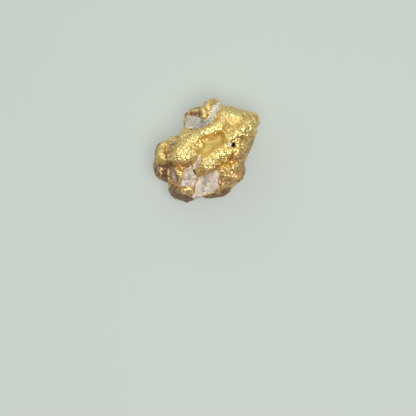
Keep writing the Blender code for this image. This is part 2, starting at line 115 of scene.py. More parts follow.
def wander(plan: np.ndarray) -> np.ndarray:
    """Moves plan points a little to and fro, so that what is placed by them has ragged edges."""
    x, y = plan[:, 0], plan[:, 1]
    drift_x = np.sin(6.1 * y + 2.3 * np.sin(3.7 * x)) + 0.6 * np.sin(13.7 * y + 5.2 * x)
    drift_y = np.sin(5.3 * x + 2.1 * np.sin(4.1 * y)) + 0.6 * np.sin(14.9 * x - 6.4 * y)
    return plan + RAGGED * np.stack([drift_x, drift_y], axis=1)


@dataclass(frozen=True)
class Stroke:
    """A mark along a line on the plan.

    Attributes:
        line: The points of the line on the plan.
        reach: How far the mark reaches to each side of the line.
        move: How far the surface moves outwards, or inwards where it is negative. For a stain, it
            is how strong the stain is.
    """

    line: tuple[PlanPoint, ...]
    reach: float
    move: float = 1.0

    def strength(self, points: np.ndarray) -> np.ndarray:
        """Measures how strongly the mark falls on each point.

        Args:
            points: The points, one row each.

        Returns:
            A value from 0 to 1 for each point, 1 on the line.
        """
        plan = wander(points[:, :2])
        nearest = np.full(len(plan), np.inf)
        ends = self.line[1:] or self.line
        for first, last in zip(self.line, ends):
            start = np.array(first)
            run = np.array(last) - start
            along = np.clip((plan - start) @ run / max(run @ run, 1e-9), 0, 1)
            nearest = np.minimum(nearest, np.linalg.norm(plan - start - along[:, None] * run, axis=1))
        return np.clip(1 - (nearest / self.reach) ** 2, 0, 1) ** 2


Strokes = Mapping[str, Stroke]


@dataclass(frozen=True)
class Scoop:
    """A hollow with a crisp rim: the lower half of an egg shape, turned about Z.

    Attributes:
        at: The middle of the egg shape.
        half: Its half sizes.
        turn: How far it is turned, in degrees.
    """

    at: Place
    half: Place
    turn: float = 0.0

    def floor(self, points: np.ndarray) -> np.ndarray:
        """Finds the hollow's floor under or over each point.

        Args:
            points: The points, one row each.

        Returns:
            The height of the floor for each point, or infinity outside the hollow.
        """
        gap = points[:, :2] - self.at[:2]
        cosine, sine = cos(radians(self.turn)), sin(radians(self.turn))
        along = (gap[:, 0] * cosine + gap[:, 1] * sine) / self.half[0]
        across = (gap[:, 1] * cosine - gap[:, 0] * sine) / self.half[1]
        inside = 1 - along**2 - across**2
        depth = self.half[2] * np.sqrt(np.clip(inside, 0, 1))
        return np.where(inside > 0, self.at[2] - depth, np.inf)


@dataclass(frozen=True)
class Relief:
    """One layer of procedural relief.

    Attributes:
        grain: The kind of relief.
        size: The size of its features.
        depth: How far it moves the surface between its extremes.
        group: The vertex group that says where it acts, or an empty name for everywhere.
        detail: How many finer octaves it has.
    """

    grain: Grain
    size: float
    depth: float
    group: str = ""
    detail: int = 1

    def texture(self, name: str) -> bpy.types.Texture:
        """Makes the texture that drives this layer.

        Args:
            name: The name of the texture.

        Returns:
            The texture.
        """
        texture = bpy.data.textures.new(name, self.grain.value)
        texture.noise_scale = self.size
        if self.grain is Grain.PEBBLES:
            texture.distance_metric = "DISTANCE_SQUARED"
        elif self.grain is Grain.FOLDS:
            texture.musgrave_type = "RIDGED_MULTIFRACTAL"
            texture.octaves = self.detail
            texture.noise_intensity = 0.6
        else:
            texture.noise_depth = self.detail
        return texture


class Workpiece:
    """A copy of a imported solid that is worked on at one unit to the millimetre."""

    def __init__(self, name: str, node: bpy.types.Object) -> None:
        """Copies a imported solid, in place, and welds the copy.

        Args:
            name: The name of the new piece.
            node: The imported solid.
        """
        self.name = name
        self.node = node
        mesh = node.data.copy()
        mesh.name = name
        mesh.transform(Matrix.Scale(1 / MM, 4))
        self.obj = bpy.data.objects.new(name, mesh)
        bpy.context.scene.collection.objects.link(self.obj)
        self.select()
        bpy.ops.object.mode_set(mode="EDIT")
        bpy.ops.mesh.select_all(action="SELECT")
        bpy.ops.mesh.remove_doubles(threshold=WELD)
        bpy.ops.mesh.customdata_custom_splitnormals_clear()
        bpy.ops.object.mode_set(mode="OBJECT")

    def select(self) -> None:
        """Makes this piece the only one selected, and the active one."""
        bpy.ops.object.select_all(action="DESELECT")
        self.obj.select_set(True)
        bpy.context.view_layer.objects.active = self.obj

    def modify(self, kind: str, **settings: object) -> None:
        """Adds a modifier and applies it.

        Args:
            kind: The type of modifier.
            **settings: Its settings.
        """
        self.select()
        bpy.ops.object.modifier_add(type=kind)
        modifier = self.obj.modifiers[-1]
        for key, value in settings.items():
            setattr(modifier, key, value)
        bpy.ops.object.modifier_apply(modifier=modifier.name)

    def swell(self, amount: float) -> None:
        """Moves the whole surface outwards by this amount."""
        self.modify("DISPLACE", strength=amount, mid_level=0.0)

    def remesh(self, voxel: float) -> None:
        """Rebuilds the surface from cells of this size."""
        self.modify("REMESH", mode="VOXEL", voxel_size=voxel)

    def relax(self, factor: float, iterations: int) -> None:
        """Softens the surface."""
        self.modify("SMOOTH", factor=factor, iterations=iterations)

    def roughen(self, relief: Relief) -> None:
        """Presses one layer of relief into the surface.

        Args:
            relief: The layer.
        """
        sign = -1 if relief.grain is Grain.PEBBLES else 1
        self.modify(
            "DISPLACE",
            texture=relief.texture(f"{self.name}_relief"),
            texture_coords="LOCAL",
            strength=sign * relief.depth,
            mid_level=0.5,
            vertex_group=relief.group,
        )

    def vectors(self, key: str) -> np.ndarray:
        """Returns one vector of each point of the mesh, one row each."""
        flat = np.empty(len(self.obj.data.vertices) * 3, np.float32)
        self.obj.data.vertices.foreach_get(key, flat)
        return flat.reshape(-1, 3).astype(float)

    def points(self) -> np.ndarray:
        """Returns the points of the mesh, one row each."""
        return self.vectors("co")

    def normals(self) -> np.ndarray:
        """Returns the normal of each point, one row each."""
        return self.vectors("normal")

    def move_points(self, points: np.ndarray) -> None:
        """Puts every point of the mesh in a new place."""
        self.obj.data.vertices.foreach_set("co", points.astype(np.float32).ravel())
        self.obj.data.update()

    def carve(self, strokes: Iterable[Stroke]) -> None:
        """Presses strokes into the upper side and the walls.

        They fade out on what faces down, and over a millimetre towards the height where they end.

        Args:
            strokes: The strokes, which add up where they cross.
        """
        points, normals = self.points(), self.normals()
        facing = np.clip(normals[:, 2] * 2 + 1, 0, 1) * np.clip(points[:, 2] - MARKS_END, 0, 1)
        for stroke in strokes:
            points += normals * (stroke.move * facing * stroke.strength(points))[:, None]
        self.move_points(points)

    def scoop(self, scoops: Iterable[Scoop]) -> None:
        """Lowers what faces up to the floor of each hollow.

        Args:
            scoops: The hollows.
        """
        points, up = self.points(), self.normals()[:, 2] > 0
        for scoop in scoops:
            points[up, 2] = np.minimum(points[up, 2], scoop.floor(points[up]))
        self.move_points(points)

    def spread(self, strokes: Strokes, low: float = 1.5, fade: float = 1.0) -> np.ndarray:
        """Measures how strongly any of these strokes falls on each point.

        Args:
            strokes: The strokes.
            low: The height at which they begin to show.
            fade: How far above that they show fully.

        Returns:
            The strongest stroke's strength for each point, and 0 where there is none.
        """
        points = self.points()
        if not strokes:
            return np.zeros(len(points))
        upper = np.clip((points[:, 2] - low) / fade, 0, 1)
        strengths = [stroke.strength(points) * stroke.move for stroke in strokes.values()]
        return upper * np.max(strengths, axis=0)

    def settle(self) -> None:
        """Lifts what lies under the floor up to it."""
        points = self.points()
        points[:, 2] = np.maximum(points[:, 2], 0)
        self.move_points(points)

    def closeness(self, surface: BVHTree, reach: float) -> np.ndarray:
        """Measures how close each point lies to a surface.

        Args:
            surface: The surface.
            reach: The distance at which the value is 0.

        Returns:
            A value from 0 to 1 for each point, 1 on the surface.
        """
        gaps = [surface.find_nearest(Vector(point))[3] for point in self.points()]
        return np.clip(1 - np.array(gaps) / reach, 0, 1)

    def edges(self) -> tuple[np.ndarray, np.ndarray]:
        """Returns the two ends of every edge, as two arrays of point numbers."""
        flat = np.empty(len(self.obj.data.edges) * 2, np.int32)
        self.obj.data.edges.foreach_get("vertices", flat)
        pairs = flat.reshape(-1, 2)
        return pairs[:, 0], pairs[:, 1]

    def hollowness(self, steps: int, depth: float) -> np.ndarray:
        """Measures how hollow the surface is at each point.

        Args:
            steps: How many times the points are averaged with their neighbours.
            depth: How far below that average a point counts as fully hollow.

        Returns:
            A value for each point, 1 where it is fully hollow and -1 where it stands as far out.
        """
        first, last = self.edges()
        points = self.points()
        count = len(points)
        neighbours = np.bincount(first, minlength=count) + np.bincount(last, minlength=count)
        mean = points.copy()
        for _ in range(steps):
            total = [
                np.bincount(first, mean[last, axis], count) + np.bincount(last, mean[first, axis], count)
                for axis in range(3)
            ]
            mean = np.stack(total, axis=1) / np.maximum(neighbours, 1)[:, None]
        below = ((mean - points) * self.normals()).sum(axis=1)
        return np.clip(below / depth, -1, 1)

    def note(self, attribute: Attribute, values: np.ndarray) -> None:
        """Keeps a value on every point for the finish to read."""
        layer = self.obj.data.attributes.new(attribute.value, "FLOAT", "POINT")
        layer.data.foreach_set("value", values.astype(np.float32))

    def group(self, name: str, weights: np.ndarray) -> None:
        """Makes a vertex group from one weight for each point.

        Args:
            name: The name of the group.
            weights: The weights, which are kept in even steps.
        """
        group = self.obj.vertex_groups.new(name=name)
        steps = np.round(np.clip(weights, 0, 1) * WEIGHT_STEPS).astype(int)
        for step in range(1, WEIGHT_STEPS + 1):
            group.add(np.flatnonzero(steps == step).tolist(), step / WEIGHT_STEPS, "REPLACE")

    def finish(self, material: bpy.types.Material, slot: str) -> None:
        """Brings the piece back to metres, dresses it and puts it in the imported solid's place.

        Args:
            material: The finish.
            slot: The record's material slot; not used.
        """
        mesh = self.obj.data
        mesh.transform(Matrix.Scale(MM, 4))
        mesh.materials.clear()
        mesh.materials.append(material)
        mesh.shade_smooth()
        self.obj.vertex_groups.clear()
        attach(self.obj, ROOT_BODY)
        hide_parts(self.node.name)
        LOG.info("%s: %d faces", self.name, len(mesh.polygons))


class Socket:
    """An output of a shader node, on which Python's operators do the maths."""

    def __init__(self, graph: Graph, output: bpy.types.NodeSocket) -> None:
        """Wraps one output of a node of this graph."""
        self.graph = graph
        self.output = output

    def _math(self, operation: str, *values: SocketValue, clamp: bool = False) -> Socket:
        """Adds a Math node on these values."""
        inputs = dict(enumerate(values))
        return self.graph.node("ShaderNodeMath", {"operation": operation, "use_clamp": clamp}, inputs)

    def __add__(self, other: SocketValue) -> Socket:
        """Adds."""
        return self._math("ADD", self, other)

    def __radd__(self, other: SocketValue) -> Socket:
        """Adds, from the right."""
        return self._math("ADD", other, self)

    def __sub__(self, other: SocketValue) -> Socket:
        """Subtracts."""
        return self._math("SUBTRACT", self, other)

    def __rsub__(self, other: SocketValue) -> Socket:
        """Subtracts from something else."""
        return self._math("SUBTRACT", other, self)

    def __mul__(self, other: SocketValue) -> Socket:
        """Multiplies."""
        return self._math("MULTIPLY", self, other)

    def __rmul__(self, other: SocketValue) -> Socket:
        """Multiplies, from the right."""
        return self._math("MULTIPLY", other, self)

    def clamped(self) -> Socket:
        """Keeps the value between 0 and 1."""
        return self._math("ADD", self, 0.0, clamp=True)

    def between(self, low: float, high: float) -> Socket:
        """Rises smoothly from 0 at low to 1 at high.

        Args:
            low: The value at which the result leaves 0.
            high: The value at which it reaches 1, which may be below low.

        Returns:
            The rising value.
        """
        settings = {"interpolation_type": "SMOOTHSTEP"}
        if low <= high:
            return self.graph.node("ShaderNodeMapRange", settings, {0: self, 1: low, 2: high})
        return 1.0 - self.graph.node("ShaderNodeMapRange", settings, {0: self, 1: high, 2: low})


class Graph:
    """A node tree that is built in code."""

    def __init__(self, tree: bpy.types.NodeTree) -> None:
        """Starts from this node tree."""
        self.tree = tree

    def node(
        self,
        kind: str,
        settings: Mapping[str, object] | None = None,
        inputs: Mapping[int | str, SocketValue] | None = None,
        output: int | str = 0,
    ) -> Socket:
        """Makes any node.

        Args:
            kind: The node's type.
            settings: Its settings, set before its sockets.
            inputs: What each of its sockets holds or is linked to.
            output: The output that is wanted.

        Returns:
            That output.
        """
        made = self.tree.nodes.new(kind)
        for key, value in (settings or {}).items():
            setattr(made, key, value)
        for key, value in (inputs or {}).items():
            self.feed(made.inputs[key], value)
        return Socket(self, made.outputs[output])

    def feed(self, socket: bpy.types.NodeSocket, value: SocketValue) -> None:
        """Links a value to a socket, or sets it there.

        Args:
            socket: The socket of a node.
            value: What it gets.
        """
        if isinstance(value, Socket):
            self.tree.links.new(value.output, socket)
        elif isinstance(value, tuple) and len(socket.default_value) == 4:
            socket.default_value = (*value, 1.0)
        else:
            socket.default_value = value

    def mix(self, factor: SocketValue, first: SocketValue, second: SocketValue) -> Socket:
        """Mixes two colours.

        Args:
            factor: How much of the second there is.
            first: The first colour.
            second: The second colour.

        Returns:
            The mixed colour.
        """
        settings = {"data_type": "RGBA", "clamp_factor": True}
        return self.node("ShaderNodeMix", settings, {0: factor, 6: first, 7: second}, 2)


class Shader(Graph):
    """The node tree of one material, with one Principled shader."""

    def __init__(self, name: str) -> None:
        """Makes an empty material with its Principled shader."""
        self.material = bpy.data.materials.new(name)
        self.material.use_nodes = True
        super().__init__(self.material.node_tree)
        self.principled = self.tree.nodes["Principled BSDF"]
        self.place = self.node(
            "ShaderNodeVectorMath",
            {"operation": "SCALE"},
            {0: self.node("ShaderNodeTexCoord", output="Object"), "Scale": 1 / MM},
        )

    def attribute(self, attribute: Attribute) -> Socket:
        """Reads a measure that is kept on the mesh's points."""
        return self.node("ShaderNodeAttribute", {"attribute_name": attribute.value}, output="Fac")

    def noise(self, scale: float, detail: float = 2.0, rough: float = 0.5, warp: float = 0.0) -> Socket:
        """Makes soft noise.

        Args:
            scale: How many features there are to a millimetre.
            detail: How many finer octaves it has.
            rough: How strong those are.
            warp: How far it is drawn out of shape.

        Returns:
            A value around 0.5.
        """
        inputs = {
            "Vector": self.place,
            "Scale": scale,
            "Detail": detail,
            "Roughness": rough,
            "Distortion": warp,
        }
        return self.node("ShaderNodeTexNoise", None, inputs)

    def granules(self, scale: float, ragged: float = 0.05) -> Socket:
        """Makes rounded grains of uneven shape.

        Args:
            scale: How many grains there are to a millimetre.
            ragged: How far their outlines wander, in millimetres.

        Returns:
            A value that is 1 in the middle of each grain and falls to 0 between them.
        """
        inputs = {"Vector": self.place, "Scale": scale * 1.3}
        drift = self.node("ShaderNodeTexNoise", None, inputs, "Color")
        inputs = {0: drift, 1: Vector((ragged,) * 3), 2: self.place}
        place = self.node("ShaderNodeVectorMath", {"operation": "MULTIPLY_ADD"}, inputs)
        inputs = {"Vector": place, "Scale": scale}
        gap = self.node("ShaderNodeTexVoronoi", {"feature": "SMOOTH_F1"}, inputs, "Distance")
        return gap.between(0.62, 0.12)

    def folds(self, scale: float) -> Socket:
        """Makes thin crumpled ridges.

        Args:
            scale: How many of them there are to a millimetre.

        Returns:
            A value that is 1 along each ridge and falls away to both sides.
        """
        level = (self.noise(scale, 2.0, 0.6, 0.5) - 0.5) * 5.0
        return 1.0 - self.node("ShaderNodeMath", {"operation": "ABSOLUTE"}, {0: level}).clamped()

    def bump(self, height: Socket, depth: float, under: Socket | None = None) -> Socket:
        """Turns a height into a bent normal.

        Args:
            height: The height, from 0 to 1.
            depth: The depth that it stands for.
            under: A bent normal that this one adds to.

        Returns:
            The normal.
        """
        inputs: dict[int | str, SocketValue] = {"Height": height, "Distance": depth * MM}
        if under is not None:
            inputs["Normal"] = under
        return self.node("ShaderNodeBump", None, inputs)

    def dress(self, **values: SocketValue) -> bpy.types.Material:
        """Feeds the Principled shader.

        Args:
            **values: What each of its sockets gets, with underscores for the spaces in its name.

        Returns:
            The material.
        """
        for key, value in values.items():
            self.feed(self.principled.inputs[key.replace("_", " ").title()], value)
        return self.material


@dataclass(frozen=True)
class GoldFinish:
    """Native gold: pale where it is worn and where highlights are painted, deeper in its creases as
    painted shade, with rust, soil and quartz smears.

    Attributes:
        bright: The colour of the painted highlights, laid where the gold is worn brightest.
        pale: The colour of the worn gold, which the painted highlights also take.
        deep: The colour of the gold that is not worn, which also stands for painted shade in its
            creases.
        satin: The colour of its smooth, matte parts.
        rust: The colour of the iron stain, also used for painted shade.
        soil: The colour of the dried soil, also used for painted shade.
        dust: The colour of the soil where it is thin and dry.
        dark: The colour of the painted shade in the deepest pits.
        smear: The colour of the thin quartz at the edge of a patch.
    """

    bright: Colour = (1.0, 0.86, 0.36)
    pale: Colour = (1.0, 0.785, 0.34)
    deep: Colour = (0.68, 0.43, 0.13)
    satin: Colour = (0.66, 0.53, 0.2)
    rust: Colour = (0.48, 0.25, 0.12)
    soil: Colour = (0.13, 0.08, 0.057)
    dust: Colour = (0.29, 0.18, 0.12)
    dark: Colour = (0.035, 0.024, 0.016)
    smear: Colour = (0.52, 0.46, 0.38)

    def build(self, name: str) -> bpy.types.Material:
        """Makes the material.

        Args:
            name: Its name.

        Returns:
            The material.
        """
        s = Shader(name)
        crease, pit, worn = map(s.attribute, (Attribute.CREASE, Attribute.PIT, Attribute.WORN))
        rust, soil, border = map(s.attribute, (Attribute.RUST, Attribute.SOIL, Attribute.BORDER))
        grainy = 1.0 - worn * 0.8
        blotch = s.noise(1.3, 4.0, 0.6) - 0.5
        speckle = s.noise(4.5, 3.0, 0.65) - 0.5
        tops = s.granules(4.8, 0.2)
        folds = s.folds(2.6)
        gaps = (1.0 - tops) * grainy
        polish = s.attribute(Attribute.POLISH)
        # Lighter on grain tops and ridges. The crease term darkens the creases as painted shade.
        relief = tops * 0.3 + folds * 0.25 - crease * 0.6
        # Real wear and random tone, plus the painted highlights of the polish strokes and the painted
        # shade of the creases.
        rubbed = (0.25 + polish * 0.7 + blotch + relief * grainy - worn * 0.05).clamped()
        colour = s.mix(worn * 0.85, s.mix(rubbed, self.deep, self.pale), self.satin)
        # Painted highlight: the brightest places take a lighter, lemon colour, which is kept off the
        # gaps between grains.
        colour = s.mix((polish * 0.9 - gaps * 0.4).clamped(), colour, self.bright)
        stain = rust * 1.4 + soil * 0.5 + crease * 0.5 + gaps * 0.2 + speckle * 1.3 - 0.65
        rusty = stain.between(0.0, 0.9)
        colour = s.mix(rusty * 0.85, colour, self.rust)
        dirt = soil * 2.4 + crease * 0.6 - folds * 0.4 - tops * 0.3 + speckle - 0.25
        soiled = dirt.between(0.0, 0.9)
        dry = (0.35 + speckle * 2.0 + blotch + folds * 0.35 - crease * 0.6).clamped()
        colour = s.mix(soiled * 0.92, colour, s.mix(dry, self.soil, self.dust))
        # Painted shade: the deepest pits, and a little of the creases, are coloured near-black and made
        # non-metal.
        pitted = (pit * 0.9 + crease * 0.2 - 0.75).between(0.0, 0.3)
        colour = s.mix(pitted, colour, self.dark)
        film = s.attribute(Attribute.MILK) * 1.3 + border * 0.8 + speckle * 1.8 - 0.75
        milky = film.between(0.0, 0.4)
        colour = s.mix(milky * 0.85, colour, self.smear)
        metal = 1.0 - (rusty * 0.25 + soiled * 0.35 + pitted + milky * 0.9).clamped()
        matte = rusty * 0.1 + soiled * 0.12 + milky * 0.25 + gaps * 0.05 + worn * 0.4
        roughness = (0.28 + speckle * 0.25 - polish * 0.06 + matte).clamped()
        fine = s.bump((tops + s.granules(10.0, 0.08) * 0.1) * grainy, 0.055)
        normal = s.bump(folds * (1.0 - worn * 0.6), 0.03, fine)
        return s.dress(base_color=colour, metallic=metal, roughness=roughness, normal=normal)


@dataclass(frozen=True)
class QuartzFinish:
    """Milky quartz, murky in places and darkened by painted shade in its creases, and stained and gilt
    where it meets the gold.

    Attributes:
        milk: The main colour.
        cloud: The darker colour of its murky parts, also used as painted shade.
        blush: The colour of its stained parts.
        specks: How many dark specks it has, from 0 to 1.
        mottle: How strongly its grains show, from 0 to 1.
        rust: The colour of the iron stain along its edge.
        speck: The colour of the specks, also used as painted shade in the deeper creases.
        leaf: The colour of the thin gold that runs over its edge.
    """

    milk: Colour
    cloud: Colour
    blush: Colour
    specks: float = 0.3
    mottle: float = 0.3
    rust: Colour = (0.36, 0.20, 0.10)
    speck: Colour = (0.07, 0.06, 0.05)
    leaf: Colour = (0.84, 0.58, 0.20)

    def build(self, name: str) -> bpy.types.Material:
        """Makes the material.

        Args:
            name: Its name.

        Returns:
            The material.
        """
        s = Shader(name)
        border, crease = s.attribute(Attribute.BORDER), s.attribute(Attribute.CREASE)
        # Random murky patches, plus the painted shade of the strokes.
        clouded = s.noise(1.3, 4.0, 0.6, 0.4).between(0.4, 0.75) * 0.7 + s.attribute(Attribute.CLOUD)
        blushed = s.noise(0.9, 3.0, 0.6, 0.8).between(0.5, 0.75) * 0.5 + s.attribute(Attribute.BLUSH)
        speckle = s.noise(5.5, 2.0, 0.6)
        colour = s.mix(blushed.clamped() * 0.85, self.milk, self.blush)
        colour = s.mix(clouded.clamped() * 0.85, colour, self.cloud)
        grains = s.granules(3.0, 0.2)
        colour = s.mix((1.0 - grains) * self.mottle, colour, self.cloud)
        rusty = (border + (speckle - 0.5) * 1.6 - 0.45).between(0.0, 0.6)
        colour = s.mix(rusty * 0.7, colour, self.rust)
        dark = speckle.between(0.66 - self.specks * 0.08, 0.76 - self.specks * 0.08)
        # Dark specks, and painted shade in the deeper creases.
        colour = s.mix((dark * 0.8 + crease.between(0.4, 1.0) * 0.5).clamped(), colour, self.speck)
        gilt = (border + (s.noise(3.6, 3.0, 0.6) - 0.5) * 1.8 - 0.72).between(0.0, 0.2)
        colour = s.mix(gilt, colour, self.leaf)
        roughness = (0.45 + (speckle - 0.5) * 0.4 - gilt * 0.1).clamped()
        grain = s.bump(grains + s.noise(7.0, 4.0, 0.65), 0.05)
        normal = s.bump(s.noise(2.2, 3.0, 0.6), 0.07, grain)
        return s.dress(
            base_color=colour,
            metallic=gilt,
            roughness=roughness,
            normal=normal,
            subsurface_weight=0.2,
            subsurface_scale=0.4 * MM,
        )


class Quartz(Enum):
    """The finishes that the quartz patches have."""

    MILKY = QuartzFinish((0.87, 0.78, 0.65), (0.46, 0.42, 0.38), (0.70, 0.56, 0.50), 0.1, 0.25)
    GREY = QuartzFinish((0.89, 0.84, 0.71), (0.38, 0.36, 0.31), (0.62, 0.53, 0.46), 1.0, 0.5)
    ROSY = QuartzFinish((0.92, 0.81, 0.69), (0.46, 0.39, 0.33), (0.68, 0.50, 0.42), 0.6, 0.9)
    SMOKY = QuartzFinish((0.98, 0.85, 0.70), (0.36, 0.34, 0.31), (0.84, 0.70, 0.58), 0.5, 0.2)
    DUSKY = QuartzFinish((0.58, 0.45, 0.36), (0.24, 0.17, 0.13), (0.46, 0.30, 0.23), 0.6, 0.8)


def named(**strokes: Stroke) -> Strokes:
    """Gives a field of named strokes its default."""
    return field(default_factory=lambda: strokes)


@dataclass(frozen=True)
class GoldLump:
    """The gold, with the marks that its growth and a stream have left on it.

    Attributes:
        voxel: The size of the cells that it is worked in.
        relief: The fine relief of its skin, which its worn parts lack.
        scoops: The hollows with crisp rims.
        cuts: The creases.
        swellings: The small bumps.
        worn: Where it is smoothed by wear.
        rust: Where it is stained by iron, and where the rust colour paints shade under the shoulder and
            the lip and in the arc of the hollow.
        soil: Where soil clings to it, and where the soil colours paint shade: under the ear's ledge, in
            the crevice behind the rib and in the eye pit.
        milk: Where a film of quartz lies on it.
        polish: Where it is worn bright, and where highlights are painted into its colour.
    """

    voxel: float = 0.075
    relief: tuple[Relief, ...] = (
        Relief(Grain.CLOUDS, 0.7, 0.14, "rough", 2),
        Relief(Grain.FOLDS, 0.5, 0.07, "rough", 2),
        Relief(Grain.PEBBLES, 0.28, 0.1, "rough"),
    )
    scoops: Mapping[str, Scoop] = field(
        default_factory=lambda: {
            "bowl": Scoop((1.3, 1.05, 6.3), (0.6, 0.85, 0.88), -24),
            "spoon": Scoop((0.1, 0.05, 6.3), (1.0, 0.5, 0.74), 24),
            "arc": Scoop((-0.1, 1.15, 6.35), (0.8, 0.34, 0.66), 14),
            "eye_pit": Scoop((2.84, 0.56, 6.1), (0.22, 0.24, 1.7)),
        }
    )
    cuts: Strokes = named(
        vein=Stroke(((-3.5, -2.1), (-3.15, -2.9), (-3.05, -3.2)), 0.1, -0.12),
        cheek=Stroke(((-1.4, -1.7), (-1.28, -2.1), (-1.25, -2.5)), 0.12, -0.35),
        snout=Stroke(((2.95, -0.35), (2.75, -0.65), (2.45, -0.95)), 0.18, -0.15),
        crest_ring=Stroke(((-1.15, 3.6), (-0.8, 3.6), (-0.8, 3.85), (-1.1, 3.9)), 0.12, -0.05),
        ear_notch=Stroke(((-4.1, 1.3), (-3.98, 0.7)), 0.2, -0.25),
        bead_notch=Stroke(((-2.9, 1.75), (-3.05, 1.2)), 0.18, -0.2),
        ear_plate=Stroke(((-4.72, -0.9), (-4.6, 0.4)), 0.45, -0.1),
        ear_left=Stroke(((-5.0, -1.2), (-4.9, 0.2)), 0.13, -0.06),
        ear_right=Stroke(((-4.5, -1.2), (-4.42, 0.3)), 0.11, -0.06),
    )
    swellings: Strokes = named(
        rib=Stroke(((-4.0, -1.8), (-4.0, -2.5), (-3.85, -3.0), (-3.4, -3.5)), 0.14, 0.08),
        tooth_low=Stroke(((-2.5, -4.1), (-1.6, -4.1)), 0.35, 0.12),
        corner=Stroke(((4.95, 1.95), (4.97, 2.2)), 0.24, 0.12),
        tooth=Stroke(((-3.15, -2.0), (-2.85, -2.4), (-2.65, -2.8)), 0.3, 0.15),
        jaw=Stroke(((1.8, -1.2), (2.6, -1.1), (3.2, -1.0), (4.0, -0.95)), 0.4, 0.15),
        ear_fold=Stroke(((-3.95, 0.6), (-3.95, -1.2)), 0.35, 0.2),
        head_foot=Stroke(((1.75, 1.95), (2.1, 2.35)), 0.32, 0.12),
        ear_side=Stroke(((-5.5, -0.9), (-5.55, -1.7)), 0.3, 0.08),
        head_rim=Stroke(((1.7, 4.0), (3.2, 3.85), (4.4, 3.5)), 0.45, 0.08),
        spoon_edge=Stroke(((-0.73, -0.4), (-0.27, -0.52), (0.3, -0.3), (0.87, 0.02)), 0.14, 0.06),
    )
    worn: Strokes = named(
        hollow=Stroke(((-0.4, -0.1), (0.5, 0.6), (1.4, 1.0)), 1.15, 1.2),
        head=Stroke(((2.2, 2.2), (2.8, 2.8), (3.6, 3.1)), 1.1, 0.4),
        ear=Stroke(((-4.8, -1.0), (-4.65, 0.6)), 0.9, 0.75),
        hip=Stroke(((3.6, -1.9), (3.3, -3.0)), 0.7, 0.6),
        crest=Stroke(((-0.1, 4.6), (0.9, 5.0)), 0.7, 0.6),
        crest_left=Stroke(((-2.0, 3.6), (-1.2, 4.0)), 0.6, 0.4),
    )
    # Painted highlights: these strokes sit where the light catches the ridge, the head, the shoulder,
    # the lip and other high points. They lighten the colour there and also smooth it a little.
    polish: Strokes = named(
        ridge=Stroke(((-1.1, 1.45), (0.2, 1.85), (1.0, 2.3), (1.8, 2.9)), 0.7, 1.3),
        head_band=Stroke(((1.5, 3.7), (2.6, 3.8), (3.4, 3.6)), 0.45, 0.7),
        head_rise=Stroke(((3.2, 1.6), (3.9, 2.2), (4.4, 2.9)), 0.7, 0.8),
        corner=Stroke(((4.95, 1.9), (4.97, 2.3)), 0.3),
        shoulder=Stroke(((-2.4, 0.1), (-1.5, -0.4), (-1.0, -0.6)), 1.1, 0.4),
        lip=Stroke(((-0.2, -0.9), (0.6, -0.8), (1.0, -1.3)), 1.1, 0.6),
        snout=Stroke(((1.6, -0.2), (2.4, -0.3), (2.3, 1.2)), 0.6, 1.2),
        tooth_left=Stroke(((-3.1, -2.0), (-2.65, -2.8)), 0.5),
        tooth_low=Stroke(((-2.5, -4.15), (-1.6, -4.15)), 0.5),
        crest_left=Stroke(((-0.95, 4.15), (-0.7, 4.1)), 0.25, 0.9),
        hip=Stroke(((2.85, -1.5), (2.85, -2.1)), 0.4),
        tongue=Stroke(((-0.2, 3.7), (-0.15, 3.4)), 0.35),
        bumps=Stroke(((-0.55, 0.8), (-0.6, 0.3)), 0.3, 0.5),
    )
    rust: Strokes = named(
        # Painted shade under the shoulder and the lip, laid in the rust colour.
        shoulder_foot=Stroke(((-3.6, -1.3), (-2.4, -1.55), (-1.5, -1.5)), 0.55),
        lip_foot=Stroke(((-1.1, -2.3), (-0.3, -2.6), (0.7, -2.2), (1.3, -1.7)), 0.55),
        snout_side=Stroke(((2.6, -1.0), (3.6, -0.75), (4.4, 0.1), (4.9, 1.3)), 0.45, 0.9),
        jaw=Stroke(((1.8, -1.25), (3.2, -1.05), (4.0, -1.0)), 0.35, 0.8),
        seam=Stroke(((-0.9, -3.0), (-1.2, -3.6), (-1.3, -4.4)), 0.3),
        right_of_quartz=Stroke(((1.4, -2.6), (1.5, -3.6), (0.9, -4.3)), 0.6, 0.9),
        haunch=Stroke(((2.0, -3.5), (3.2, -3.0), (3.9, -2.2)), 0.8),
        head_right=Stroke(((5.3, 2.0), (5.4, 3.2)), 0.4, 0.5),
        shoulder_left=Stroke(((-3.4, 0.9), (-3.5, -0.9)), 0.5, 0.6),
        rib=Stroke(((-4.0, -1.8), (-4.0, -2.5), (-3.7, -3.3), (-2.9, -3.9)), 0.45, 1.2),
        low=Stroke(((-3.6, -3.4), (-2.0, -4.2), (1.6, -3.8), (3.4, -2.6), (4.0, -1.4)), 1.6, 0.8),
        shoulder_low=Stroke(((-3.4, -0.6), (-2.2, -1.0), (-1.5, -1.1)), 0.7, 0.4),
        crest_left=Stroke(((-2.1, 3.8), (-1.3, 4.0), (-0.7, 4.0)), 0.7, 1.0),
        ear_low=Stroke(((-5.4, -1.7), (-5.1, -2.5), (-4.8, -3.0)), 0.9),
        tongue=Stroke(((-0.6, 3.9), (-0.7, 3.4)), 0.35),
        # Painted shade in the arc at the top of the hollow, laid in the rust colour.
        hollow_arc=Stroke(((-0.45, 1.25), (-0.2, 1.1)), 0.25, 0.8),
    )
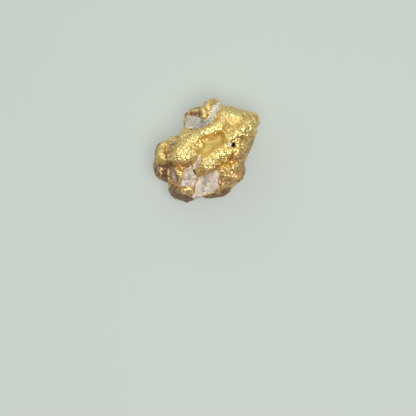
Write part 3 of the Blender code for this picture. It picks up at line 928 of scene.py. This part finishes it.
    soil: Strokes = named(
        heel=Stroke(((-3.9, -4.4), (-2.9, -5.1), (-1.7, -5.3)), 0.85, 1.2),
        heel_top=Stroke(((-3.7, -3.4), (-3.4, -3.9), (-2.9, -4.4)), 0.5, 0.55),
        sill=Stroke(((-0.8, -5.1), (0.2, -4.9), (1.4, -4.8), (2.4, -4.3)), 0.6, 0.85),
        ear_low=Stroke(((-5.4, -1.7), (-5.0, -2.5), (-4.5, -3.1)), 0.7, 0.8),
        # Painted shadow cast by the ear's overhanging ledge, laid in the soil colours.
        ear_ledge=Stroke(((-5.0, -1.65), (-4.2, -1.7), (-3.7, -1.65)), 0.4),
        # Painted shade in the dark crevice behind the rib, laid in the soil colours.
        behind_rib=Stroke(((-4.35, -1.8), (-4.4, -3.0)), 0.4),
        crest=Stroke(((-2.0, 3.8), (-1.3, 3.85), (-0.7, 3.7)), 0.7, 0.65),
        crest_edge=Stroke(((-2.35, 2.6), (-2.1, 3.6), (-1.6, 4.3), (-0.6, 4.5)), 0.3, 0.6),
        crest_dark=Stroke(((-0.3, 5.2), (-0.1, 5.05)), 0.25),
        # Painted shade in the deep eye pit, laid in the soil colours.
        eye=Stroke(((2.8, 0.6), (2.85, 0.5)), 0.3, 0.4),
        crest_top=Stroke(((0.2, 5.0), (0.9, 5.2)), 0.5, 0.3),
        ear_fold=Stroke(((-3.2, 1.4), (-3.8, 0.4), (-4.0, -1.5)), 0.4, 0.55),
        ear_edge=Stroke(((-5.6, -1.6), (-5.3, 0.2), (-4.9, 0.8)), 0.25, 0.7),
        vein_edge=Stroke(((-3.75, -1.5), (-3.3, -2.2), (-3.0, -3.2)), 0.15, 0.7),
        low_fold=Stroke(((-2.9, -3.4), (-3.2, -3.8)), 0.3, 0.35),
        right_edge=Stroke(((4.3, -0.6), (4.7, 0.3), (5.1, 1.3)), 0.2, 0.7),
        hip_edge=Stroke(((4.3, -1.4), (4.1, -2.4), (3.2, -3.6)), 0.3, 0.7),
    )
    milk: Strokes = named(
        ear_fold=Stroke(((-3.5, 0.9), (-3.75, 0.35), (-4.0, -0.2), (-3.98, -1.2)), 0.25, 0.8),
        ear_patch=Stroke(((-4.5, 0.7), (-4.3, 0.65)), 0.3, 0.9),
        ear_plate=Stroke(((-4.75, -1.0), (-4.65, 0.3)), 0.5, 0.6),
        bead=Stroke(((-3.3, 1.3), (-3.3, 1.15)), 0.25, 0.9),
        crest_spot=Stroke(((-0.1, 4.95), (0.0, 4.8)), 0.22, 0.9),
        crest_grain=Stroke(((-0.97, 3.73), (-0.95, 3.72)), 0.18, 1.2),
        hip_patch=Stroke(((2.2, -1.8), (2.2, -2.15)), 0.3, 0.7),
    )

    def build(self, node: bpy.types.Object, quartz: BVHTree) -> Workpiece:
        """Works the gold.

        Args:
            node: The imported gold.
            quartz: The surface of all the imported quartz.

        Returns:
            The worked piece, still in millimetres.
        """
        piece = Workpiece("gold_lump", node)
        piece.remesh(self.voxel)
        piece.relax(0.5, 6)
        piece.carve([*self.cuts.values(), *self.swellings.values()])
        piece.scoop(self.scoops.values())
        piece.remesh(self.voxel)
        piece.relax(0.5, 1)
        worn = piece.spread(self.worn)
        piece.group("rough", (1 - worn) * np.clip(piece.points()[:, 2] / RELIEF_FADE, 0, 1))
        for relief in self.relief:
            piece.roughen(relief)
        piece.settle()
        piece.note(Attribute.CREASE, piece.hollowness(5, 0.03))
        piece.note(Attribute.PIT, np.clip(piece.hollowness(90, 0.3), 0, 1))
        piece.note(Attribute.WORN, worn)
        # What faces down takes the rust and soil colours all over, so it is darker.
        under = np.clip(-piece.normals()[:, 2], 0, 1)
        piece.note(Attribute.RUST, np.maximum(piece.spread(self.rust, 0.2, 2), under * 0.6))
        piece.note(Attribute.SOIL, np.maximum(piece.spread(self.soil, 0.2, 2), under * 0.5))
        piece.note(Attribute.BORDER, piece.closeness(quartz, 0.2))
        piece.note(Attribute.MILK, piece.spread(self.milk))
        piece.note(Attribute.POLISH, piece.spread(self.polish))
        return piece


@dataclass(frozen=True)
class QuartzPatch:
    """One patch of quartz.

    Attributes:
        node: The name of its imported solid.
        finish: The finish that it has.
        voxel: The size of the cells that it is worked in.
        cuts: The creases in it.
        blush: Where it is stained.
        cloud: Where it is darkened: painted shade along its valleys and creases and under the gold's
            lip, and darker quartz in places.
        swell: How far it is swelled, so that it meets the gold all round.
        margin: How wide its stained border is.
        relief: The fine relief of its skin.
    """

    node: str
    finish: Quartz
    voxel: float = 0.05
    cuts: Strokes = field(default_factory=dict)
    blush: Strokes = field(default_factory=dict)
    cloud: Strokes = field(default_factory=dict)
    swell: float = 0.06
    margin: float = 0.25
    relief: tuple[Relief, ...] = (
        Relief(Grain.CLOUDS, 0.6, 0.14, detail=3),
        Relief(Grain.PEBBLES, 0.25, 0.05),
    )

    def build(self, node: bpy.types.Object, gold: BVHTree) -> Workpiece:
        """Works the patch.

        Args:
            node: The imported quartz.
            gold: The worked gold's surface, to measure the border by.

        Returns:
            The worked piece, still in millimetres.
        """
        piece = Workpiece(f"{self.node}_patch", node)
        piece.swell(self.swell)
        piece.remesh(self.voxel)
        piece.relax(0.5, 3)
        piece.carve(self.cuts.values())
        for relief in self.relief:
            piece.roughen(relief)
        piece.note(Attribute.CREASE, np.clip(piece.hollowness(8, 0.03), 0, 1))
        piece.note(Attribute.BORDER, piece.closeness(gold, self.margin))
        piece.note(Attribute.BLUSH, piece.spread(self.blush))
        piece.note(Attribute.CLOUD, piece.spread(self.cloud))
        return piece


UPPER_QUARTZ = QuartzPatch(
    "quartz_upper",
    Quartz.GREY,
    blush={"edge": Stroke(((-2.1, 2.5), (-2.15, 3.3)), 0.35)},
    cloud={
        "left": Stroke(((-1.8, 3.2), (-1.0, 3.1), (-0.6, 2.8)), 0.9, 0.9),
        "low": Stroke(((-1.4, 2.3), (-0.2, 2.3)), 0.3, 0.6),
    },
)
LOWER_QUARTZ = QuartzPatch(
    "quartz_lower",
    Quartz.MILKY,
    cuts={
        "valley": Stroke(((0.1, -2.6), (-0.15, -3.3), (-0.1, -4.3)), 0.7, -0.1),
        "line": Stroke(((0.0, -3.1), (0.9, -3.4)), 0.14, -0.05),
    },
    blush={
        "right": Stroke(((0.4, -2.6), (0.8, -3.6)), 0.7, 0.8),
        "low": Stroke(((-1.1, -4.9), (-0.4, -4.9)), 0.4, 0.7),
    },
    # Painted shade: grey along the carved valley and line, and the shadow of the gold's lip.
    cloud={
        "valley": Stroke(((0.1, -2.7), (-0.12, -3.3)), 0.42, 0.55),
        "valley_line": Stroke(((0.0, -2.9), (-0.15, -3.4), (-0.1, -3.9)), 0.16, 0.7),
        "line": Stroke(((0.0, -3.1), (0.9, -3.4)), 0.15, 0.6),
        "under_lip": Stroke(((-0.6, -2.7), (0.3, -2.7), (1.1, -2.1)), 0.3, 0.6),
    },
)
CHEEK_QUARTZ = QuartzPatch(
    "quartz_cheek",
    Quartz.ROSY,
    blush={"top": Stroke(((-2.3, -2.15), (-1.8, -2.0)), 0.5)},
    # Painted shade along the crevice at the right edge.
    cloud={"right": Stroke(((-1.45, -2.0), (-1.4, -2.6)), 0.25, 0.5)},
)


@dataclass(frozen=True)
class Nugget:
    """The whole nugget."""

    gold: GoldLump = GoldLump()
    patches: tuple[QuartzPatch, ...] = (
        UPPER_QUARTZ,
        LOWER_QUARTZ,
        CHEEK_QUARTZ,
        QuartzPatch("quartz_sliver", Quartz.SMOKY, 0.035, margin=0.12),
        QuartzPatch("quartz_vein", Quartz.DUSKY, 0.035, margin=0.12),
        QuartzPatch("quartz_eye", Quartz.MILKY, 0.03, margin=0.1),
    )

    def build(self, nodes: Mapping[str, bpy.types.Object]) -> None:
        """Works and dresses every piece.

        Args:
            nodes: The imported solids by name.
        """
        gold = self.gold.build(nodes["gold"], self.quartz_surface(nodes))
        surface = BVHTree.FromObject(gold.obj, bpy.context.evaluated_depsgraph_get())
        finishes = {kind: kind.value.build(f"quartz_{kind.name.lower()}") for kind in Quartz}
        for patch in self.patches:
            patch.build(nodes[patch.node], surface).finish(finishes[patch.finish], "quartz")
        gold.finish(GoldFinish().build("native_gold"), "gold")

    def quartz_surface(self, nodes: Mapping[str, bpy.types.Object]) -> BVHTree:
        """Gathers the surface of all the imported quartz.

        Args:
            nodes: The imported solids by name.

        Returns:
            The surface, in millimetres.
        """
        points: list[Vector] = []
        faces: list[list[int]] = []
        for patch in self.patches:
            mesh = nodes[patch.node].data
            start = len(points)
            points += [vertex.co / MM for vertex in mesh.vertices]
            faces += [[start + index for index in face.vertices] for face in mesh.polygons]
        return BVHTree.FromPolygons(points, faces)


@dataclass(frozen=True)
class Lamp:
    """A soft round light that points at the nugget.

    Attributes:
        name: Its name.
        at: Where it is.
        size: How wide it is.
        glow: How bright its face is, where a white floor in full light is 1.
    """

    name: str
    at: Place
    size: float
    glow: float

    def build(self) -> None:
        """Makes the light."""
        bpy.ops.object.light_add(type="AREA", location=Vector(self.at) * MM)
        lamp = bpy.context.object
        lamp.name = self.name
        lamp.data.shape = "DISK"
        lamp.data.size = self.size * MM
        # A disc's power is its brightness times pi times its area.
        lamp.data.energy = self.glow * pi * pi * (self.size * MM / 2) ** 2
        lamp.rotation_euler = Vector(self.at).to_track_quat("Z", "Y").to_euler()


@dataclass(frozen=True)
class Studio:
    """The pale floor, the soft lights and the camera that looks straight down.

    Attributes:
        frame_width: How wide a strip of the floor the picture shows.
        centre: The middle of the picture on the plan.
        lens: The camera's focal length.
        film: The width of the camera's film.
        level: The height over the floor at which the picture's scale is true.
        floor_size: How wide the floor is.
        floor_colour: How bright the floor looks.
        floor_share: How much of that is lit by the lights. The rest is its own glow, as of a light box.
        lamps: The lights.
        far_side: The way to the far side of the surroundings.
        daylight: The colour of the surroundings at the far side.
        dusk: Their colour at the near side.
    """

    frame_width: float = PICTURE_PX / PX_PER_MM
    centre: PlanPoint = (0.16, -6.07)
    lens: float = 300.0
    film: float = 36.0
    level: float = 3.0
    floor_size: float = 1200.0
    floor_colour: Colour = (0.555, 0.605, 0.57)
    floor_share: float = 0.5
    lamps: tuple[Lamp, ...] = (
        Lamp("overhead", (20, -25, 140), 105, 5.6),
        Lamp("back", (-60, 150, 90), 110, 1.2),
    )
    far_side: Place = (-0.35, 0.9, 0.25)
    daylight: Colour = (0.62, 0.65, 0.60)
    dusk: Colour = (0.15, 0.10, 0.06)

    def build(self) -> None:
        """Makes the floor, the lights and the camera."""
        self.make_floor()
        self.make_world()
        for lamp in self.lamps:
            lamp.build()
        self.make_camera()

    def make_floor(self) -> None:
        """Makes a floor far larger than the picture."""
        bpy.ops.mesh.primitive_plane_add(size=self.floor_size * MM)
        floor = bpy.context.object
        floor.name = "floor"
        shader = Shader("pale_floor")
        shade = tuple(value * self.floor_share for value in self.floor_colour)
        glow = tuple(value * (1 - self.floor_share) for value in self.floor_colour)
        floor.data.materials.append(
            shader.dress(base_color=shade, roughness=0.9, emission_color=glow, emission_strength=1.0)
        )

    def make_world(self) -> None:
        """Surrounds the nugget with pale light, which falls off to a warm dusk at the near side."""
        world = bpy.data.worlds.new("studio")
        world.use_nodes = True
        graph = Graph(world.node_tree)
        inputs = {0: graph.node("ShaderNodeTexCoord", output="Generated"), 1: Vector(self.far_side)}
        away = graph.node("ShaderNodeVectorMath", {"operation": "DOT_PRODUCT"}, inputs, "Value")
        colour = graph.mix(away.between(-0.6, 0.7), self.dusk, self.daylight)
        graph.feed(world.node_tree.nodes["Background"].inputs["Color"], colour)
        bpy.context.scene.world = world

    def make_camera(self) -> None:
        """Puts the camera over the middle of the picture."""
        height = self.frame_width * self.lens / self.film + self.level
        bpy.ops.object.camera_add(location=Vector((*self.centre, height)) * MM, rotation=(0, 0, 0))
        camera = bpy.context.object
        camera.data.lens = self.lens
        camera.data.sensor_width = self.film
        camera.data.clip_start = MM
        bpy.context.scene.camera = camera


def main() -> None:
    """Dresses the nugget and sets up the picture."""
    logging.basicConfig(level=logging.INFO, format="%(name)s: %(message)s")
    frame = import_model()
    Nugget().build(frame["nodes"])
    Studio().build()
    bpy.context.scene.view_settings.view_transform = "Standard"


if __name__ == "__main__":
    main()
